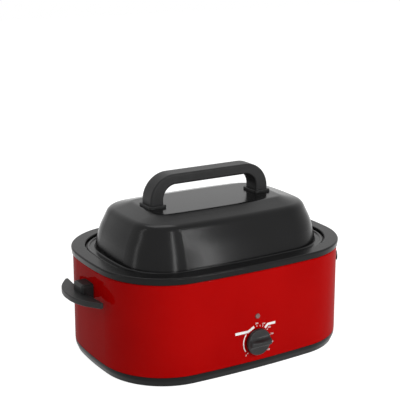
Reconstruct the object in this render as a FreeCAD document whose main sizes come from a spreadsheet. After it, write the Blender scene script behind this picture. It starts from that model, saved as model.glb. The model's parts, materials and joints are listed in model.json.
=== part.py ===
import FreeCAD, Part
import math
import os
import re
import Sketcher

# Electric roaster oven: a rounded oblong base with a cooking well, a lift-out pan with a wire rack,
# and a lift-off domed lid. X runs along the long side, the front faces -Y and the feet stand on Z = 0.
# Everything is drawn about the middle of the base and then moved by origin_shift, which puts the origin
# under the middle of the whole oven, knob included.

# Driving sizes in millimetres, except the angles, which are in degrees.
SIZES = {
    # Plan of the base
    "shell_length": 520.0,
    "shell_width": 371.4,
    "corner_radius": 133.9,
    "long_side_bow": 4.3,
    "short_side_bow": 2.0,
    # Heights of the stacked casing
    "foot_proud": 1.5,
    "skirt_height": 18.8,
    "shell_height": 178.3,
    "collar_height": 12.9,
    # Red shell
    "shell_wall": 0.8,
    "shell_flange": 7.0,
    "shell_bend": 2.2,
    # Skirt and bottom plate
    "skirt_wall": 2.4,
    "skirt_tuck": 5.8,
    "skirt_lip": 36.0,
    "plate_thickness": 1.0,
    "plate_play": 0.6,
    "vent_length": 46.0,
    "vent_width": 6.0,
    "vent_pitch": 15.0,
    # Rim collar
    "collar_inset": 2.0,
    "collar_wall": 3.2,
    "collar_round": 4.0,
    # Cooking well
    "well_sheet": 0.8,
    "well_clearance": 4.5,
    "well_flange": 11.0,
    "well_floor_gap": 8.0,
    "well_corner": 15.0,
    "well_bend": 4.0,
    "flange_drop": 9.0,
    # Pan
    "pan_overhang_ends": 5.0,
    "pan_overhang_sides": 3.8,
    "pan_corner_extra": 7.1,
    "pan_sheet": 1.2,
    "pan_seat_gap": 0.3,
    "pan_lip": 12.0,
    "pan_lip_tuck": 0.4,
    "pan_ring": 27.5,
    "pan_step": 8.0,
    "pan_ledge": 11.0,
    "pan_floor_rise": 39.3,
    "pan_draft": 5.7,
    "pan_bottom_corner": 13.0,
    # Rack
    "rack_wire": 4.0,
    "rack_inset": 19.5,
    "rack_lift": 5.0,
    "rack_play": 0.3,
    "rack_pitch": 28.0,
    "bail_wire": 3.0,
    "bail_half_width": 47.3,
    "bail_bend": 9.0,
    "bail_below_rim": 10.0,
    # Lid
    "lid_play_ends": 4.2,
    "lid_play_sides": 2.0,
    "lid_corner": 111.5,
    "lid_sheet": 1.0,
    "lid_seat_gap": 0.3,
    "lid_lip": 4.0,
    "lid_gutter": 1.8,
    "lid_crown": 92.8,
    # Lid handle
    "grip_length": 270.0,
    "grip_width": 38.0,
    "grip_bar": 21.0,
    "grip_leg": 28.3,
    "grip_rise": 57.6,
    "grip_outer_bend": 52.0,
    "grip_inner_bend": 28.0,
    "grip_round": 4.0,
    "grip_seat": 5.0,
    "grip_seat_border": 4.5,
    "grip_screw": 2.5,
    # Side handles
    "lug_half_length": 80.0,
    "lug_reach": 46.0,
    "lug_thickness": 11.0,
    "lug_tip_gap": 8.0,
    "lug_underside": 143.5,
    "lug_block_width": 40.0,
    "lug_block_depth": 24.0,
    "lug_block_rise": 17.0,
    "lug_screw": 2.0,
    "lug_screw_pitch": 20.0,
    "lug_screw_depth": 14.0,
    "lug_round": 1.8,
    # Knob, thermostat and lamp
    "knob_height": 60.5,
    "knob_radius": 26.0,
    "knob_gap": 2.6,
    "knob_skirt": 6.0,
    "knob_grip_rise": 12.0,
    "knob_grip_width": 13.0,
    "shaft_radius": 3.0,
    "shaft_clearance": 0.05,
    "bush_radius": 4.8,
    "hole_clearance": 0.3,
    "thermostat_width": 36.0,
    "thermostat_height": 30.0,
    "thermostat_depth": 15.0,
    "bracket_gap": 0.5,
    "bracket_sheet": 1.5,
    "bracket_ear": 10.0,
    "bush_nut_height": 1.8,
    "lamp_height": 110.5,
    "lens_radius": 5.2,
    "lens_stem": 4.2,
    # Heater and insulation
    "band_thickness": 1.5,
    "band_width": 20.0,
    "band_rise": 20.0,
    "band_spacing": 45.0,
    "band_gap": 30.0,
    "wool_thickness": 10.0,
    "wool_rise": 10.0,
    "wool_headroom": 13.6,
    "wool_bay": 150.0,
    # Fixings
    "foot_radius": 11.0,
    "foot_inset_x": 67.0,
    "foot_inset_y": 57.0,
    "stud_radius": 3.0,
    "cutoff_across": 60.0,
    "cutoff_length": 22.0,
    "cutoff_radius": 3.0,
    "cutoff_drop": 4.0,
    "clip_width": 12.0,
    "clip_depth": 18.0,
    "clip_wall": 1.0,
    # Cord inlet and wiring
    "inlet_height": 42.0,
    "inlet_across": 90.0,
    "inlet_bore": 4.0,
    "inlet_wall": 3.0,
    "inlet_rim": 2.5,
    "inlet_seat_drop": 1.6,
    "inlet_inside": 17.0,
    "inlet_outside": 5.0,
    "lead_radius": 1.3,
    "lead_bend": 9.0,
    "block_length": 40.0,
    "block_width": 16.0,
    "block_height": 14.0,
    "earth_post": 4.0,
}

# Places and half sizes worked out from the driving sizes
ORIGIN_SHIFT = "(knob_gap + knob_skirt + knob_grip_rise - pan_overhang_sides + pan_lip_tuck) / 2"
HALF_LENGTH = "shell_length / 2"
HALF_WIDTH = "shell_width / 2"
SKIRT_TOP = "(foot_proud + skirt_height)"
SHELL_TOP = f"({SKIRT_TOP} + shell_height)"
COLLAR_TOP = f"({SHELL_TOP} + collar_height)"
PLATE_TOP = "(foot_proud + skirt_wall + plate_thickness)"
PAN_TOP = f"({COLLAR_TOP} + pan_seat_gap + pan_sheet)"
PAN_LEDGE = f"({PAN_TOP} - pan_step)"
PAN_FLOOR = f"({PLATE_TOP} + pan_floor_rise)"
PAN_BASE = f"({PAN_FLOOR} - pan_sheet)"
PAN_HALF_LENGTH = f"{HALF_LENGTH} + pan_overhang_ends"
PAN_HALF_WIDTH = f"{HALF_WIDTH} + pan_overhang_sides"
PAN_WALL = "(pan_ring + pan_ledge)"
WELL_TOP = f"({COLLAR_TOP} - flange_drop)"
WELL_INSET = f"({PAN_WALL} - well_clearance)"
WELL_FLOOR = f"({PAN_BASE} - well_floor_gap)"
WELL_BASE = f"({WELL_FLOOR} - well_sheet)"
LID_BASE = f"({PAN_LEDGE} + lid_seat_gap)"
LID_TOP = f"({LID_BASE} + lid_crown)"
SEAT_TOP = f"({LID_TOP} + grip_seat)"
GRIP_TOP = f"({SEAT_TOP} + grip_rise)"
BAND_LOW = f"({WELL_FLOOR} + band_rise)"
BAND_HIGH = f"({BAND_LOW} + band_spacing)"
WOOL_LOW = f"({WELL_FLOOR} + wool_rise)"
WOOL_HIGH = f"({SHELL_TOP} - wool_headroom)"
SHELL_FRONT = f"-{HALF_WIDTH}"
SHELL_INNER_FRONT = f"(shell_wall - {HALF_WIDTH})"
RACK_HEIGHT = f"({PAN_FLOOR} + rack_lift + rack_wire / 2)"
BLOCK_Y = f"({HALF_WIDTH} - 62)"
BLOCK_Z = f"({PLATE_TOP} + block_height / 2)"
LUG_TOP = "(lug_underside + lug_thickness)"
LUG_SCREW_HEIGHT = f"({LUG_TOP} + lug_block_rise / 3)"
EARTH_X = "(inlet_across + 42)"
EARTH_Y = f"({BLOCK_Y} - block_width / 2 - 30)"

# Outlines, each as half length, half width and corner radius
SHELL_PLAN = (HALF_LENGTH, HALF_WIDTH, "corner_radius")
PAN_PLAN = (PAN_HALF_LENGTH, PAN_HALF_WIDTH, "corner_radius + pan_corner_extra")
LID_PLAN = (
    f"{PAN_HALF_LENGTH} - pan_ring - lid_play_ends",
    f"{PAN_HALF_WIDTH} - pan_ring - lid_play_sides",
    "lid_corner",
)

V = FreeCAD.Vector
AXES = {
    "XY": FreeCAD.Rotation(),
    "XZ": FreeCAD.Rotation(V(1, 0, 0), 90),
    "YZ": FreeCAD.Rotation(0.5, 0.5, 0.5, 0.5),
}

doc = FreeCAD.newDocument("roaster_oven")
sheet = doc.addObject("Spreadsheet::Sheet", "Sizes")
parts = []


def fill_sheet():
    for row, (name, value) in enumerate(SIZES.items(), start=1):
        sheet.set(f"A{row}", name)
        sheet.set(f"B{row}", str(value))
        sheet.setAlias(f"B{row}", name)
    doc.recompute()


def linked(expression):
    """The expression with each size named as a cell of the sheet."""

    def cell(word):
        return f"Sizes.{word[0]}" if word[0] in SIZES else word[0]

    return re.sub(r"[a-z][a-z_]+", cell, str(expression))


def size(expression):
    return float(sheet.evalExpression(linked(expression)))


def bind(thing, **properties):
    for name, expression in properties.items():
        thing.setExpression(name.replace("__", "."), linked(expression))


def place(thing, x="0", y="0", z="0"):
    bind(thing, Placement__Base__x=x, Placement__Base__y=y, Placement__Base__z=z)
    return thing


def register(thing, label):
    thing.Label = label
    parts.append(thing)
    return thing


def plus(base, inset):
    """An outline moved inwards by the inset."""
    return tuple(f"({value} - ({inset}))" for value in base)


# Sketches


def new_sketch(owner, name, plane="XY", offset="0"):
    """A sketch on an origin plane of a body, or a free one where the owner is the document."""
    if owner is doc:
        sketch = doc.addObject("Sketcher::SketchObject", name)
        sketch.Placement = FreeCAD.Placement(V(0, 0, 0), AXES[plane])
        axis = {"XY": "z", "XZ": "y", "YZ": "x"}[plane]
        bind(sketch, **{f"Placement__Base__{axis}": offset})
        return sketch
    sketch = owner.newObject("Sketcher::SketchObject", name)
    origin = next(item for item in owner.Origin.OriginFeatures if item.Role == f"{plane}_Plane")
    sketch.AttachmentSupport = [(origin, "")]
    sketch.MapMode = "FlatFace"
    sign = "-1 * " if plane == "XZ" else ""
    bind(sketch, AttachmentOffset__Base__z=f"{sign}({offset})")
    return sketch


def fix(sketch, kind, *where, to):
    """A dimension of the sketch, bound to the sheet."""
    index = sketch.addConstraint(Sketcher.Constraint(kind, *where, size(to)))
    sketch.setExpression(f"Constraints[{index}]", linked(to))


def relate(sketch, kind, *where):
    sketch.addConstraint(Sketcher.Constraint(kind, *where))


def arc(x, y, radius, start, end):
    return Part.ArcOfCircle(Part.Circle(V(x, y, 0), V(0, 0, 1), radius), start, end)


def draw_plan(sketch, plan):
    """A rounded oblong whose four sides bow outwards, made of nine tangent arcs from (half length, 0)."""
    half_length, half_width, corner = (size(item) for item in plan)
    long_bow, short_bow = size("long_side_bow"), size("short_side_bow")
    x, y = half_length - short_bow - corner, half_width - long_bow - corner
    below = (x * x + y * y - (half_width - corner) ** 2) / (2 * long_bow)
    behind = (x * x + y * y - (half_length - corner) ** 2) / (2 * short_bow)
    long_radius, short_radius = half_width + below, half_length + behind
    low, high = math.atan2(y, x + behind), math.atan2(y + below, x)
    pi = math.pi
    for item in (
        arc(-behind, 0, short_radius, 0, low),
        arc(x, y, corner, low, high),
        arc(0, -below, long_radius, high, pi - high),
        arc(-x, y, corner, pi - high, pi - low),
        arc(behind, 0, short_radius, pi - low, pi + low),
        arc(-x, -y, corner, pi + low, pi + high),
        arc(0, below, long_radius, pi + high, 2 * pi - high),
        arc(x, -y, corner, 2 * pi - high, 2 * pi - low),
        arc(-behind, 0, short_radius, 2 * pi - low, 2 * pi),
    ):
        sketch.addGeometry(item)
    first = sketch.GeometryCount - 9
    for index in range(first, first + 8):
        relate(sketch, "Tangent", index, 2, index + 1, 1)
    relate(sketch, "Coincident", first + 8, 2, first, 1)
    relate(sketch, "Coincident", first + 8, 3, first, 3)
    for index in (3, 5, 7):
        relate(sketch, "Equal", first + 1, first + index)
    fix(sketch, "Radius", first + 1, to=plan[2])
    fix(sketch, "DistanceX", -1, 1, first + 1, 3, to=f"({plan[0]}) - short_side_bow - ({plan[2]})")
    fix(sketch, "DistanceY", -1, 1, first + 1, 3, to=f"({plan[1]}) - long_side_bow - ({plan[2]})")
    relate(sketch, "Symmetric", first + 1, 3, first + 3, 3, -2)
    relate(sketch, "Symmetric", first + 1, 3, first + 7, 3, -1)
    relate(sketch, "Symmetric", first + 3, 3, first + 5, 3, -1)
    fix(sketch, "DistanceX", -1, 1, first, 1, to=plan[0])
    relate(sketch, "PointOnObject", first, 1, -1)
    relate(sketch, "Equal", first, first + 4)
    relate(sketch, "Equal", first + 2, first + 6)
    apex = sketch.addGeometry(Part.Point(V(0, half_width, 0)), True)
    relate(sketch, "PointOnObject", apex, 1, first + 2)
    relate(sketch, "PointOnObject", apex, 1, -2)
    fix(sketch, "DistanceY", -1, 1, apex, 1, to=plan[1])
    return sketch


def pin_point(sketch, geometry, point, x, y):
    fix(sketch, "DistanceX", -1, 1, geometry, point, to=x)
    fix(sketch, "DistanceY", -1, 1, geometry, point, to=y)


def corner_arcs(points, closed):
    """Where each rounded corner starts, ends and has its centre."""
    count = len(points)
    spots = [V(size(point[0]), size(point[1]), 0) for point in points]
    rounds = {}
    for index, point in enumerate(points):
        if len(point) < 3 or not (closed or 0 < index < count - 1):
            continue
        radius = size(point[2])
        back = (spots[index - 1] - spots[index]).normalize()
        ahead = (spots[(index + 1) % count] - spots[index]).normalize()
        half = back.getAngle(ahead) / 2
        reach = radius / math.tan(half)
        centre = spots[index] + (back + ahead).normalize() * (radius / math.sin(half))
        rounds[index] = (spots[index] + back * reach, spots[index] + ahead * reach, centre, radius)
    return spots, rounds


def draw_path(sketch, points, closed=True):
    """Straight lines through the points, (x, y) or (x, y, radius), rounded where a radius is given."""
    count = len(points)
    spots, rounds = corner_arcs(points, closed)
    runs = count if closed else count - 1
    lines = []
    for index in range(runs):
        after = (index + 1) % count
        start = rounds[index][1] if index in rounds else spots[index]
        end = rounds[after][0] if after in rounds else spots[after]
        lines.append(sketch.addGeometry(Part.LineSegment(start, end)))
    for index, point in enumerate(points):
        if index in rounds:
            round_corner(sketch, lines[index - 1], lines[index], rounds[index], spots[index], point)
            continue
        if closed or 0 < index < count - 1:
            relate(sketch, "Coincident", lines[index - 1], 2, lines[index], 1)
        last = index == count - 1 and not closed
        pin_point(sketch, lines[index - 1] if last else lines[index], 2 if last else 1, point[0], point[1])
    return sketch


def round_corner(sketch, before, after, rounding, spot, point):
    start, end, centre, radius = rounding
    angles = [math.atan2(item.y - centre.y, item.x - centre.x) for item in (start, end)]
    turns_left = (start - centre).cross(end - centre).z > 0
    if not turns_left:
        angles.reverse()
    curve = sketch.addGeometry(arc(centre.x, centre.y, radius, *angles))
    relate(sketch, "Tangent", before, 2, curve, 1 if turns_left else 2)
    relate(sketch, "Tangent", after, 1, curve, 2 if turns_left else 1)
    fix(sketch, "Radius", curve, to=point[2])
    mark = sketch.addGeometry(Part.Point(spot), True)
    relate(sketch, "PointOnObject", mark, 1, before)
    relate(sketch, "PointOnObject", mark, 1, after)
    pin_point(sketch, mark, 1, point[0], point[1])


def draw_circle(sketch, x, y, radius):
    circle = sketch.addGeometry(Part.Circle(V(size(x), size(y), 0), V(0, 0, 1), size(radius)))
    fix(sketch, "Radius", circle, to=radius)
    pin_point(sketch, circle, 3, x, y)
    return sketch


def box_points(x0, x1, y0, y1, *radius):
    return [(x0, y0, *radius), (x1, y0, *radius), (x1, y1, *radius), (x0, y1, *radius)]


# Features


def new_body(label):
    return register(doc.addObject("PartDesign::Body", label), label)


def pad(body, sketch, length, midplane=False, backwards=False):
    """Material along the sketch's normal: up from XY, towards the front from XZ, to the right from YZ."""
    feature = body.newObject("PartDesign::Pad", "Pad")
    feature.Profile = sketch
    feature.SideType = "Symmetric" if midplane else "One side"
    feature.Reversed = backwards
    bind(feature, Length=length)
    doc.recompute()
    return feature


def pocket(body, sketch, length=None, backwards=True, midplane=False):
    """A cut along the sketch's normal, through everything where no length is given."""
    before = body.Shape.Volume
    feature = body.newObject("PartDesign::Pocket", "Pocket")
    feature.Profile = sketch
    feature.Reversed = backwards
    feature.SideType = "Symmetric" if midplane else "One side"
    if length is None:
        feature.Type = "ThroughAll"
    else:
        bind(feature, Length=length)
    doc.recompute()
    if not body.Shape.Volume < before - 1e-6:
        raise RuntimeError(f"{body.Label}: a pocket removes nothing")
    return feature


def round_edges(body, radius, chosen):
    """A fillet on the edges that the test picks."""
    base = body.Tip
    names = [f"Edge{i}" for i, edge in enumerate(base.Shape.Edges, start=1) if chosen(edge)]
    feature = body.newObject("PartDesign::Fillet", "Fillet")
    feature.Base = (base, names)
    bind(feature, Radius=radius)
    doc.recompute()
    return feature


def sheet_metal(label, plan, points, thickness, plate_inset=None):
    """A pressed sheet: an open section thickened and carried round the plan, and closed by a flat plate.

    The section's points are (inset, height) or (inset, height, radius), on the outer or upper face.
    """
    section = new_sketch(doc, f"{label}_section", "XZ")
    draw_path(section, [(f"({plan[0]}) - ({point[0]})", *point[1:]) for point in points], closed=False)
    route = draw_plan(new_sketch(doc, f"{label}_route"), plan)
    skin = doc.addObject("Part::Offset2D", f"{label}_skin")
    skin.Source = section
    skin.Mode = "Skin"
    skin.Fill = True
    skin.Join = 2
    bind(skin, Value=thickness)
    ring = doc.addObject("Part::Sweep", f"{label}_ring")
    ring.Sections = [skin]
    ring.Spine = (route, [f"Edge{i}" for i in range(1, 10)])
    ring.Solid = True
    doc.recompute()
    if plate_inset is None:
        return ring
    top = points[-1][1]
    middle = draw_plan(new_sketch(doc, f"{label}_middle", "XY", top), plus(plan, plate_inset))
    plate = doc.addObject("Part::Extrusion", f"{label}_plate")
    plate.Base = middle
    plate.Solid = True
    plate.DirMode = "Custom"
    plate.Dir = V(0, 0, -1)
    bind(plate, LengthFwd=thickness)
    return fuse(f"{label}_sheet", ring, plate)


def fuse(name, *shapes):
    joined = doc.addObject("Part::MultiFuse", name)
    joined.Shapes = list(shapes)
    doc.recompute()
    return joined


def cut(name, base, *tools):
    tool = tools[0] if len(tools) == 1 else fuse(f"{name}_tools", *tools)
    result = doc.addObject("Part::Cut", name)
    result.Base = base
    result.Tool = tool
    doc.recompute()
    return result


def rod(name, radius, length, x="0", y="0", z="0", axis="Z"):
    """A round bar from the given point along +X, +Y or +Z."""
    bar = doc.addObject("Part::Cylinder", name)
    bind(bar, Radius=radius, Height=length)
    turns = {"X": (V(0, 1, 0), 90), "Y": (V(1, 0, 0), -90), "Z": (V(0, 0, 1), 0)}
    bar.Placement = FreeCAD.Placement(V(0, 0, 0), FreeCAD.Rotation(*turns[axis]))
    return place(bar, x, y, z)


def block(name, x0, x1, y0, y1, z0, z1):
    box = doc.addObject("Part::Box", name)
    bind(box, Length=f"({x1}) - ({x0})", Width=f"({y1}) - ({y0})", Height=f"({z1}) - ({z0})")
    return place(box, x0, y0, z0)


# Casing


def make_outer_shell():
    inset = "shell_flange"
    section = [
        (inset, SKIRT_TOP),
        ("0", SKIRT_TOP, "shell_bend"),
        ("0", SHELL_TOP, "shell_bend"),
        (inset, SHELL_TOP),
    ]
    ring = sheet_metal("outer_shell_wrap", SHELL_PLAN, section, "shell_wall")
    deep = "shell_flange * 2"
    front = f"{SHELL_FRONT} - shell_flange"
    rear = f"{HALF_WIDTH} - shell_flange"
    inlet = "inlet_bore + inlet_wall + hole_clearance"
    tools = [
        rod("knob_hole", "bush_radius + hole_clearance", deep, y=front, z="knob_height", axis="Y"),
        rod("lamp_hole", "lens_stem + hole_clearance", deep, y=front, z="lamp_height", axis="Y"),
        rod("inlet_hole", inlet, deep, "inlet_across", rear, "inlet_height", "Y"),
    ]
    for side in (-1, 1):
        for across in (-1, 1):
            tools.append(
                rod(
                    "lug_hole",
                    "lug_screw + hole_clearance",
                    deep,
                    f"{side} * {HALF_LENGTH} - shell_flange",
                    f"{across} * lug_screw_pitch / 2",
                    LUG_SCREW_HEIGHT,
                    "X",
                )
            )
    register(cut("outer_shell", ring, *tools), "outer_shell")


def make_base_skirt():
    section = [
        ("skirt_tuck + skirt_lip", "foot_proud"),
        ("skirt_tuck", "foot_proud", "3"),
        ("shell_wall / 2", "foot_proud + skirt_height * 0.7", "12"),
        ("shell_wall / 2", SKIRT_TOP),
    ]
    ring = sheet_metal("skirt_ring", SHELL_PLAN, section, "skirt_wall")
    register(cut("base_skirt", ring, *foot_bars("skirt_hole", "stud_radius", "0", PLATE_TOP)), "base_skirt")


def foot_places():
    x, y = f"({HALF_LENGTH} - foot_inset_x)", f"({HALF_WIDTH} - foot_inset_y)"
    return [(f"{right} * {x}", f"{rear} * {y}") for right in (-1, 1) for rear in (-1, 1)]


def foot_bars(name, radius, low, high):
    return [rod(name, radius, f"({high}) - ({low})", x, y, low) for x, y in foot_places()]


def make_bottom_plate():
    body = new_body("bottom_plate")
    plan = plus(SHELL_PLAN, "skirt_tuck + skirt_wall + plate_play")
    outline = draw_plan(new_sketch(body, "Outline", "XY", "foot_proud + skirt_wall"), plan)
    pad(body, outline, "plate_thickness")
    holes = new_sketch(body, "Holes", "XY")
    for x, y in foot_places():
        draw_circle(holes, x, y, "stud_radius")
    draw_circle(holes, "0", "0", "stud_radius + hole_clearance")
    draw_circle(holes, EARTH_X, EARTH_Y, "1.5")
    pocket(body, holes)
    vents = new_sketch(body, "Vents", "XY")
    left, right = "-3 * vent_pitch - vent_width / 2", "-3 * vent_pitch + vent_width / 2"
    near, far = "vent_length / 2", "vent_length * 1.5"
    for low, high in ((near, far), (f"-{far}", f"-{near}")):
        draw_path(vents, box_points(left, right, low, high, "vent_width * 0.45"))
    slots = pocket(body, vents)
    row = body.newObject("PartDesign::LinearPattern", "VentRow")
    row.Originals = [slots]
    row.Direction = (vents, ["H_Axis"])
    row.Occurrences = 7
    bind(row, Length="6 * vent_pitch")
    body.Tip = row
    doc.recompute()


def make_feet():
    body = new_body("feet")
    discs = new_sketch(body, "Discs", "XY")
    for x, y in foot_places():
        draw_circle(discs, x, y, "foot_radius")
    pad(body, discs, "foot_proud")
    recess = new_sketch(body, "Recess", "XY")
    for x, y in foot_places():
        draw_circle(recess, x, y, "stud_radius * 2")
    pocket(body, recess)


def make_foot_screws():
    head = foot_bars("screw_head", "stud_radius * 1.8", "foot_proud * 0.2", "foot_proud")
    shank = foot_bars("screw_shank", "stud_radius", "foot_proud", f"{PLATE_TOP} + 5")
    register(fuse("foot_screws", *head, *shank), "foot_screws")
    nuts = foot_bars("nut_blank", "stud_radius * 2", PLATE_TOP, f"{PLATE_TOP} + 3")
    bores = foot_bars("nut_bore", "stud_radius", PLATE_TOP, f"{PLATE_TOP} + 3")
    register(cut("foot_nuts", fuse("nut_blanks", *nuts), *bores), "foot_nuts")


def make_rim_collar():
    body = new_body("rim_collar")
    outline = draw_plan(new_sketch(body, "Outline", "XY", SHELL_TOP), plus(SHELL_PLAN, "collar_inset"))
    pad(body, outline, "collar_height")
    mouth = "pan_ring - well_clearance - pan_sheet / 2"
    opening = plus(PAN_PLAN, mouth)
    well_hole = plus(PAN_PLAN, f"{WELL_INSET} - well_bend")
    top = draw_plan(new_sketch(body, "Opening", "XY", COLLAR_TOP), opening)
    pocket(body, top, "flange_drop + well_sheet", backwards=False)
    pocket(body, draw_plan(new_sketch(body, "Throat", "XY"), well_hole))
    hollow = new_sketch(body, "Hollow", "XY", SHELL_TOP)
    draw_plan(hollow, plus(SHELL_PLAN, "collar_inset + collar_wall"))
    draw_plan(hollow, plus(PAN_PLAN, f"{mouth} - collar_wall"))
    pocket(body, hollow, "collar_height - collar_wall")
    level = size(COLLAR_TOP)
    reach = size(HALF_LENGTH) - size("collar_inset") - 1
    width = size(HALF_WIDTH) - size("collar_inset") - 6
    round_edges(
        body,
        "collar_round",
        lambda edge: on_level(edge, level) and outside(edge, reach, width),
    )
    round_edges(
        body,
        "collar_round / 4",
        lambda edge: on_level(edge, level) and not outside(edge, reach - 5, width - 5),
    )


def on_level(edge, level):
    box = edge.BoundBox
    return abs(box.ZMin - level) < 0.01 and abs(box.ZMax - level) < 0.01


def outside(edge, reach, width):
    box = edge.BoundBox
    return max(box.XMax, -box.XMin) > reach or max(box.YMax, -box.YMin) > width


def on_side(edge, across):
    """Whether the whole edge lies beyond this distance in front of or behind the middle."""
    return min(abs(edge.BoundBox.YMin), abs(edge.BoundBox.YMax)) > across


# Cooking well and heating


def make_well():
    section = [
        (f"{WELL_INSET} - well_flange", WELL_TOP),
        (WELL_INSET, WELL_TOP, "well_bend"),
        (f"{WELL_INSET} + 1.5", WELL_FLOOR, "well_corner"),
        (f"{WELL_INSET} + 36", WELL_FLOOR),
    ]
    register(sheet_metal("well", PAN_PLAN, section, "well_sheet", f"{WELL_INSET} + 35"), "cooking_well")


def ring_body(label, outer, inner, low, high, windows):
    """An upright band between two outlines, with a window cut out of it for each span of X and Y."""
    body = new_body(label)
    outline = draw_plan(new_sketch(body, "Outer", "XY", low), plus(PAN_PLAN, outer))
    draw_plan(outline, plus(PAN_PLAN, inner))
    pad(body, outline, f"({high}) - ({low})")
    for window in windows:
        pocket(body, draw_path(new_sketch(body, "Window", "XY"), box_points(*window)))
    return body


def make_heater():
    inner = f"{WELL_INSET} - well_sheet"
    outer = f"{inner} - band_thickness"
    window = ("-band_gap / 2", "band_gap / 2", f"-{HALF_WIDTH}", "0")
    for label, low in (("heater_band_lower", BAND_LOW), ("heater_band_upper", BAND_HIGH)):
        ring_body(label, outer, inner, low, f"{low} + band_width", [window])
    front = f"({outer} - ({PAN_HALF_WIDTH}))"
    tabs = []
    for low in (BAND_LOW, BAND_HIGH):
        for side in (-1, 1):
            x = f"{side} * (band_gap / 2 + 8)"
            left, right = f"{x} - 3", f"{x} + 3"
            edge, back = f"{front} - 7", f"{front} - 1"
            tabs.append(block("tab", left, right, edge, front, f"{low} + 6", f"{low} + 7"))
            tabs.append(block("tab_foot", left, right, back, front, f"{low} + 3", f"{low} + 12"))
    register(fuse("heater_terminals", *tabs), "heater_terminals")


def make_insulation():
    inner = f"({WELL_INSET} - well_sheet - band_thickness - hole_clearance)"
    outer = f"({inner} - wool_thickness)"
    for label, side in (("insulation_left", 1), ("insulation_right", -1)):
        near, far = f"{side} * wool_bay / -2", f"{side} * {HALF_LENGTH}"
        window = (near, far) if side > 0 else (far, near)
        ring_body(label, outer, inner, WOOL_LOW, WOOL_HIGH, [(*window, f"-{HALF_WIDTH}", HALF_WIDTH)])


def make_well_fixing():
    register(
        fuse(
            "well_stud_bar",
            rod("stud", "stud_radius", f"{WELL_BASE} - foot_proud - 0.5", z="foot_proud + 0.5"),
            rod("stud_head", "stud_radius * 2.5", "1.5", z=f"{WELL_BASE} - 1.5"),
        ),
        "well_stud",
    )
    low, high = PLATE_TOP, f"({WELL_BASE} - 1.5)"
    tube = rod("spacer_blank", "stud_radius * 2", f"{high} - {low}", z=low)
    bore = rod("spacer_bore", "stud_radius + 0.2", f"{high} - {low}", z=low)
    register(cut("stud_spacer", tube, bore), "stud_spacer")
    body = new_body("stud_nut")
    nut = new_sketch(body, "Hexagon", "XY", "foot_proud + skirt_wall - 2")
    reach = "stud_radius * 1.9"
    corners = [(f"{reach} * cos({angle})", f"{reach} * sin({angle})") for angle in range(0, 360, 60)]
    draw_path(nut, corners)
    draw_circle(nut, "0", "0", "stud_radius")
    pad(body, nut, "2")


def make_cutoff():
    """A tubular thermal cutoff held against the well's floor by a bored clip."""
    level = f"({WELL_BASE} - cutoff_drop)"
    start, end = "cutoff_across - cutoff_length / 2", "cutoff_across + cutoff_length / 2"
    fuse_link = rod("thermal_cutoff", "cutoff_radius", "cutoff_length", start, z=level, axis="X")
    register(fuse_link, "thermal_cutoff")
    near, far = "cutoff_across - clip_width / 2", "cutoff_across + clip_width / 2"
    low = f"{level} - cutoff_radius - clip_wall"
    clip = block("clip_blank", near, far, "-clip_depth / 2", "clip_depth / 2", low, WELL_BASE)
    slot = rod("clip_slot", "cutoff_radius", "cutoff_length", start, z=level, axis="X")
    register(cut("cutoff_clip", clip, slot), "cutoff_clip")


# Control


def make_thermostat():
    face = f"({SHELL_INNER_FRONT} + bracket_gap)"
    back = f"({face} + bracket_sheet)"
    body = new_body("thermostat_bracket")
    across, up = "(thermostat_width / 2 + bracket_ear)", "(thermostat_height / 2 + 2)"
    outline = new_sketch(body, "Plate", "XZ", back)
    draw_path(outline, box_points(f"-{across}", across, f"-{up}", up, "4"))
    draw_circle(outline, "0", "0", "bush_radius")
    pad(body, outline, "bracket_sheet")
    place(body, z="knob_height")
    body = new_body("thermostat_body")
    across, up = "thermostat_width / 2", "thermostat_height / 2"
    case = new_sketch(body, "Case", "XZ", f"{back} + thermostat_depth")
    draw_path(case, box_points(f"-{across}", across, f"-{up}", up, "3"))
    pad(body, case, "thermostat_depth")
    bush = draw_circle(new_sketch(body, "Bush", "XZ", back), "0", "0", "bush_radius")
    pad(body, bush, f"{back} - ({SHELL_FRONT}) + bush_nut_height")
    bore = new_sketch(body, "Bore", "XZ", f"{back} + thermostat_depth - 4")
    draw_circle(bore, "0", "0", "shaft_radius + shaft_clearance")
    pocket(body, bore, backwards=True)
    place(body, z="knob_height")
    body = new_body("bush_nut")
    ring = new_sketch(body, "Ring", "XZ", SHELL_FRONT)
    draw_circle(ring, "0", "0", "bush_radius + 2.2")
    draw_circle(ring, "0", "0", "bush_radius")
    pad(body, ring, "bush_nut_height")
    place(body, z="knob_height")
    tab = f"({back} + thermostat_depth - 6)"
    low, high = "knob_height - 22", "knob_height - thermostat_height / 2"
    tabs = [block("switch_tab", f"{x} - 3", f"{x} + 3", tab, f"{tab} + 1", low, high) for x in (-9, 9)]
    register(fuse("switch_tabs_bar", *tabs), "thermostat_terminals")


KNOB_BACK = f"({SHELL_FRONT} - knob_gap)"
CASE_BACK = f"({SHELL_INNER_FRONT} + bracket_gap + bracket_sheet + thermostat_depth)"


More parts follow.
